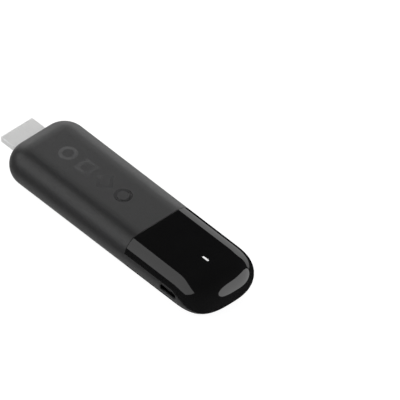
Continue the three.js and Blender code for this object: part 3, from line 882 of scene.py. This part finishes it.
# ---- Power port --------------------------------------------------------------------------------
# A steel shell with a dark tin plating, folded from sheet, flared at the mouth and soldered to the
# board's edge. Inside it stands a black nylon tongue with five contacts on its lower side.
shell_sheet = 0.25 * mm
port_mouth, port_back = port_low.y, port_high.y


def port_section(inset):
    """The shell's outline in (x, z), narrower at the bottom, anticlockwise seen from the mouth."""
    half_wide, half_tall = np.array([3.7, 1.25]) * mm - inset
    foot, shoulder = half_wide - 0.75 * mm, 0.8 * mm - half_tall
    corners = np.array([(-foot, -half_tall), (foot, -half_tall), (half_wide, shoulder),
                        (half_wide, half_tall), (-half_wide, half_tall), (-half_wide, shoulder)])
    return rounded_outline(corners + port_centre, 0.33 * mm, 4)


port_skin = Skin(shell_sheet)
port_rings = []
for y, narrowing in ((port_mouth, 0.0), (port_mouth + 0.1 * mm, 0.01), (port_mouth + 0.3 * mm, 0.03),
                     (port_mouth + 0.5 * mm, 0.05), (port_back, 0.05)):
    outer = port_section(narrowing * mm)
    inner = port_section(shell_sheet + narrowing * mm)
    facing = np.roll(outer, -1, axis=0) - np.roll(outer, 1, axis=0)
    facing = np.c_[facing[:, 1], np.zeros(len(outer)), -facing[:, 0]]
    facing /= np.linalg.norm(facing, axis=1)[:, None]
    port_rings.append([port_skin.add(np.array([p[0], y, p[1]]), np.array([q[0], y, q[1]]), n)
                       for p, q, n in zip(outer, inner, facing)])
for here, there in zip(port_rings, port_rings[1:]):
    port_skin.faces += faces_between(here, there)
port_skin.faces.append(list(port_rings[-1]))
port_piece = port_skin.solid("port_shell", 0.06 * mm, 0.0)
port_piece.data.set_sharp_from_angle(angle=math.radians(60))
dark_steel = Finish("dark_plated_steel", (0.05, 0.05, 0.05), 0.4, 1.0)
dark_steel.drift(0.6 * mm, 3, (0.035, 0.035, 0.035), (0.06, 0.06, 0.06))
dark_steel.drive("Roughness", dark_steel.spread(dark_steel.noise(0.4 * mm, 3), 0.35, 0.5))
dark_steel.bump(dark_steel.noise(0.2 * mm, 3), 0.004 * mm)
port_piece.data.materials.append(dark_steel.material)
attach(port_piece, "root")
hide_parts("usb_port_shell")

tongue_low, tongue_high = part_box("usb_tongue")
port_tongue = Parts()


def tongue_ring(half_wide, low, high, y, bevel):
    """A ring round the tongue at a distance into the port."""
    section = bevelled(half_wide, (high - low) / 2, bevel)
    return [(port_centre[0] + u, y, (high + low) / 2 + v) for u, v in section]


root_front = tongue_high.y - 0.8 * mm
blade = [tongue_ring(1.75 * mm, 0.16 * mm, 0.62 * mm, tongue_low.y, 0.08 * mm),
         tongue_ring(1.85 * mm, 0.1 * mm, 0.7 * mm, tongue_low.y + 0.15 * mm, 0.08 * mm),
         tongue_ring(1.85 * mm, 0.1 * mm, 0.7 * mm, root_front, 0.08 * mm),
         tongue_ring(2.4 * mm, -0.8 * mm, 0.8 * mm, root_front + 0.02 * mm, 0.1 * mm),
         tongue_ring(2.5 * mm, -0.85 * mm, 0.85 * mm, root_front + 0.12 * mm, 0.1 * mm),
         tongue_ring(2.5 * mm, -0.85 * mm, 0.85 * mm, tongue_high.y, 0.1 * mm)]
port_tongue.loft(blade)
tongue_mesh = port_tongue.mesh("port_tongue", 30)
tongue_mesh.data.materials.append(black_nylon.material)
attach(tongue_mesh, "root")
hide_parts("usb_tongue")

for number in range(1, 6):
    low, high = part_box(f"usb_contact_{number}")
    middle = (low.x + high.x) / 2 - plug_wall
    z = (low.z + high.z) / 2 - middle_height
    rings = []
    for t in np.linspace(0, 1, 9):
        y = low.y + (high.y - low.y) * t
        sag = 0.02 * mm * math.sin(math.pi * min(1.0, t * 2.2))
        section = bevelled(0.17 * mm, 0.04 * mm, 0.015 * mm)
        rings.append([(middle + u, y, z - sag + v) for u, v in section])
    contact = Parts()
    contact.loft(rings)
    contact_piece = contact.mesh(f"port_contact_{number}")
    contact_piece.data.materials.append(gold_plate.material)
    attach(contact_piece, "root")
    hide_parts(f"usb_contact_{number}")

# ---- Board, chips and heat path ------------------------------------------------------------------
# The electronics stand inside as the CAD has them: a green board with resin-packed chips, tinned
# shield cans, grey silicone pads and stamped aluminium plates, none of which shows from outside.


def two_tone(name, first, second, roughness, grain, metallic=0.0, depth=0.01):
    """A finish whose colour drifts between two, with a fine relief."""
    finish = Finish(name, first, roughness, metallic)
    finish.drift(grain, 4, first, second)
    finish.drive("Roughness", finish.spread(finish.noise(grain / 2, 3), roughness - 0.07, roughness + 0.07))
    finish.bump(finish.noise(grain / 3, 3), depth * mm)
    return finish


board_green = two_tone("board_laminate", (0.012, 0.07, 0.035), (0.018, 0.10, 0.05), 0.4, 2 * mm)
chip_black = two_tone("chip_resin", (0.012, 0.012, 0.013), (0.022, 0.022, 0.023), 0.55, 0.6 * mm)
pad_grey = two_tone("silicone_pad", (0.27, 0.36, 0.44), (0.34, 0.43, 0.50), 0.85, 1.2 * mm, depth=0.03)
plate_metal = two_tone("aluminium_plate", (0.62, 0.63, 0.64), (0.72, 0.73, 0.74), 0.42, 0.8 * mm, 1.0)
ferrite_grey = two_tone("ferrite", (0.06, 0.06, 0.062), (0.09, 0.09, 0.092), 0.6, 0.5 * mm)
ceramic_tan = two_tone("ceramic", (0.45, 0.32, 0.18), (0.55, 0.40, 0.24), 0.5, 0.4 * mm)
led_white = two_tone("led_resin", (0.85, 0.85, 0.80), (0.92, 0.92, 0.88), 0.4, 0.3 * mm)
tinned = Finish("tinned_steel", (0.55, 0.55, 0.54), 0.35, 1.0)
tinned.drift(1.2 * mm, 4, (0.50, 0.50, 0.49), (0.64, 0.64, 0.63))
tinned.drive("Roughness", tinned.spread(tinned.noise(0.5 * mm, 4), 0.28, 0.45))
tinned.bump(tinned.noise(0.3 * mm, 3), 0.006 * mm)
inside = {
    board_green: ["main_board"],
    chip_black: ["processor_chip", "memory_chip_1", "memory_chip_2", "flash_chip", "power_chip"],
    tinned: ["crystal", "wireless_module_can", "shield_fence", "shield_lid", "rear_shield_can",
             "side_antenna", "tip_antenna"],
    pad_grey: ["processor_pad", "front_pad", "rear_pad"],
    plate_metal: ["front_heat_spreader", "rear_heat_spreader"],
    ferrite_grey: ["inductor_1", "inductor_2"],
    ceramic_tan: ["capacitor_1", "capacitor_2", "capacitor_3", "capacitor_4"],
    led_white: ["led_chip"],
}
for finish, names in inside.items():
    for name in names:
        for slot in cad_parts[name].material_slots:
            slot.material = finish.material

# ---- Floor, light and camera -----------------------------------------------------------------
# The stick lies on a backlit white table in a white tent. Softboxes stand on the port's side, behind
# the far side and off the tip, the last one oval. A dim card lights it from below, through the table.


def stage_object(name, points, faces, finish):
    """A thing of the studio, which is no part of the stick."""
    mesh = bpy.data.meshes.new(name)
    mesh.from_pydata(points, [], faces)
    mesh.materials.append(finish.material)
    thing = bpy.data.objects.new(name, mesh)
    bpy.context.scene.collection.objects.link(thing)
    thing.visible_shadow = False
    return thing


floor_half, floor_drop, softbox_distance = 3.0, 0.2 * mm, 0.7
floor_finish = Finish("pale_floor", (0.3, 0.3, 0.3), 0.9, **{
    "Specular IOR Level": 0.0, "Emission Color": (1, 1, 1, 1), "Emission Strength": 0.92})
floor_finish.drift(40 * mm, 2, (0.29, 0.29, 0.29), (0.31, 0.31, 0.31))
floor = stage_object(
    "floor", [(x * floor_half, y * floor_half, -floor_drop) for x, y in square_corners], [(0, 1, 2, 3)],
    floor_finish)
floor.visible_glossy = False


def direction(azimuth, height):
    """The way to something seen from the stick, in degrees from the tip's end and from level."""
    turn, rise = math.radians(azimuth), math.radians(height)
    return Vector((math.cos(turn) * math.cos(rise), math.sin(turn) * math.cos(rise), math.sin(rise)))


def softbox(name, azimuth, height, corners, bottom_glow, top_glow):
    """A flat light facing the stick. Corners are (across, up) in metres from its middle."""
    toward = direction(azimuth, height)
    across = Vector((-toward.y, toward.x, 0)).normalized()
    up = toward.cross(across)
    middle = Vector((0, 0, middle_height)) + toward * softbox_distance
    points = [middle + across * u + up * v for u, v in corners]
    low, high = min(point.z for point in points), max(point.z for point in points)
    glow = Finish(name, (0, 0, 0), 1.0)
    place = glow.nodes.new("ShaderNodeSeparateXYZ")
    glow.links.new(glow.place, place.inputs["Vector"])
    glow.drive("Emission Strength", glow.spread(place.outputs["Z"], bottom_glow, top_glow, (low, high)))
    cloth = glow.spread(glow.noise(300 * mm), 0.0, 1.0)
    glow.drive("Emission Color", glow.mix(cloth, (0.98, 0.98, 0.98), (1.0, 1.0, 1.0)))
    light = stage_object(name, points, [range(len(points))], glow)
    light.visible_camera = False


softbox("near_softbox", -118, 38, [
    (0.33, -0.51), (0.50, -0.25), (0.58, 0.01), (0.24, 0.10), (-0.02, 0.20), (-0.37, 0.39), (-0.84, -0.25),
    (-0.03, -0.39)], 1.4, 1.4)
softbox("far_softbox", 118, 8, [
    (-0.70, 0.09), (-0.74, -0.15), (0.92, -0.18), (0.77, 0.67), (-0.20, 0.30)], 0.9, 2.3)
oval = [(math.cos(t), math.sin(t)) for t in np.linspace(0, 2 * math.pi, 32, endpoint=False)]
softbox("tip_softbox", 42, 8, [(-0.05 + 0.39 * u, -0.08 + 0.33 * v) for u, v in oval], 2.5, 2.5)
softbox("low_card", -138, -40, [(0.20, 0.08), (-0.22, 0.08), (-0.22, -0.17), (0.20, -0.17)], 0.38, 0.38)

# The tent stands 5 m off all round. The camera sees it, but it gives the stick no light of its own.
tent_half = 5.0
tent_cloth = Finish("tent_cloth", (0, 0, 0), 1.0, **{
    "Emission Color": (1, 1, 1, 1), "Emission Strength": 1.05})
tent_cloth.drive("Roughness", tent_cloth.spread(tent_cloth.noise(40 * mm), 0.9, 1.0))
tent = stage_object(
    "tent", [(x * tent_half, y * tent_half, z) for z in (-tent_half, tent_half) for x, y in square_corners],
    [(0, 1, 2, 3), (4, 5, 6, 7)] + [(i, (i + 1) % 4, (i + 1) % 4 + 4, i + 4) for i in range(4)], tent_cloth)
tent.visible_diffuse = False
tent.visible_glossy = False
tent.visible_transmission = False

world = bpy.data.worlds.new("studio")
world.use_nodes = True
world.node_tree.nodes["Background"].inputs["Color"].default_value = (1, 1, 1, 1)
world.node_tree.nodes["Background"].inputs["Strength"].default_value = 0.3
world.cycles_visibility.glossy = False
bpy.context.scene.world = world

# The camera looks from the tip and the port's side, with the stick at the left of the frame.
view_azimuth, view_elevation = -41.8, 43.25
frame_width = 130.85 * mm
aim = Vector((plug_wall + 57.4 * mm, 22.2 * mm, middle_height))
toward_camera = direction(view_azimuth, view_elevation)
camera_data = bpy.data.cameras.new("camera")
camera_data.type = "ORTHO"
camera_data.ortho_scale = frame_width
camera = bpy.data.objects.new("camera", camera_data)
camera.location = aim + toward_camera
camera.rotation_euler = toward_camera.to_track_quat("Z", "Y").to_euler()
bpy.context.scene.collection.objects.link(camera)
bpy.context.scene.camera = camera
bpy.context.scene.view_settings.view_transform = "Standard"
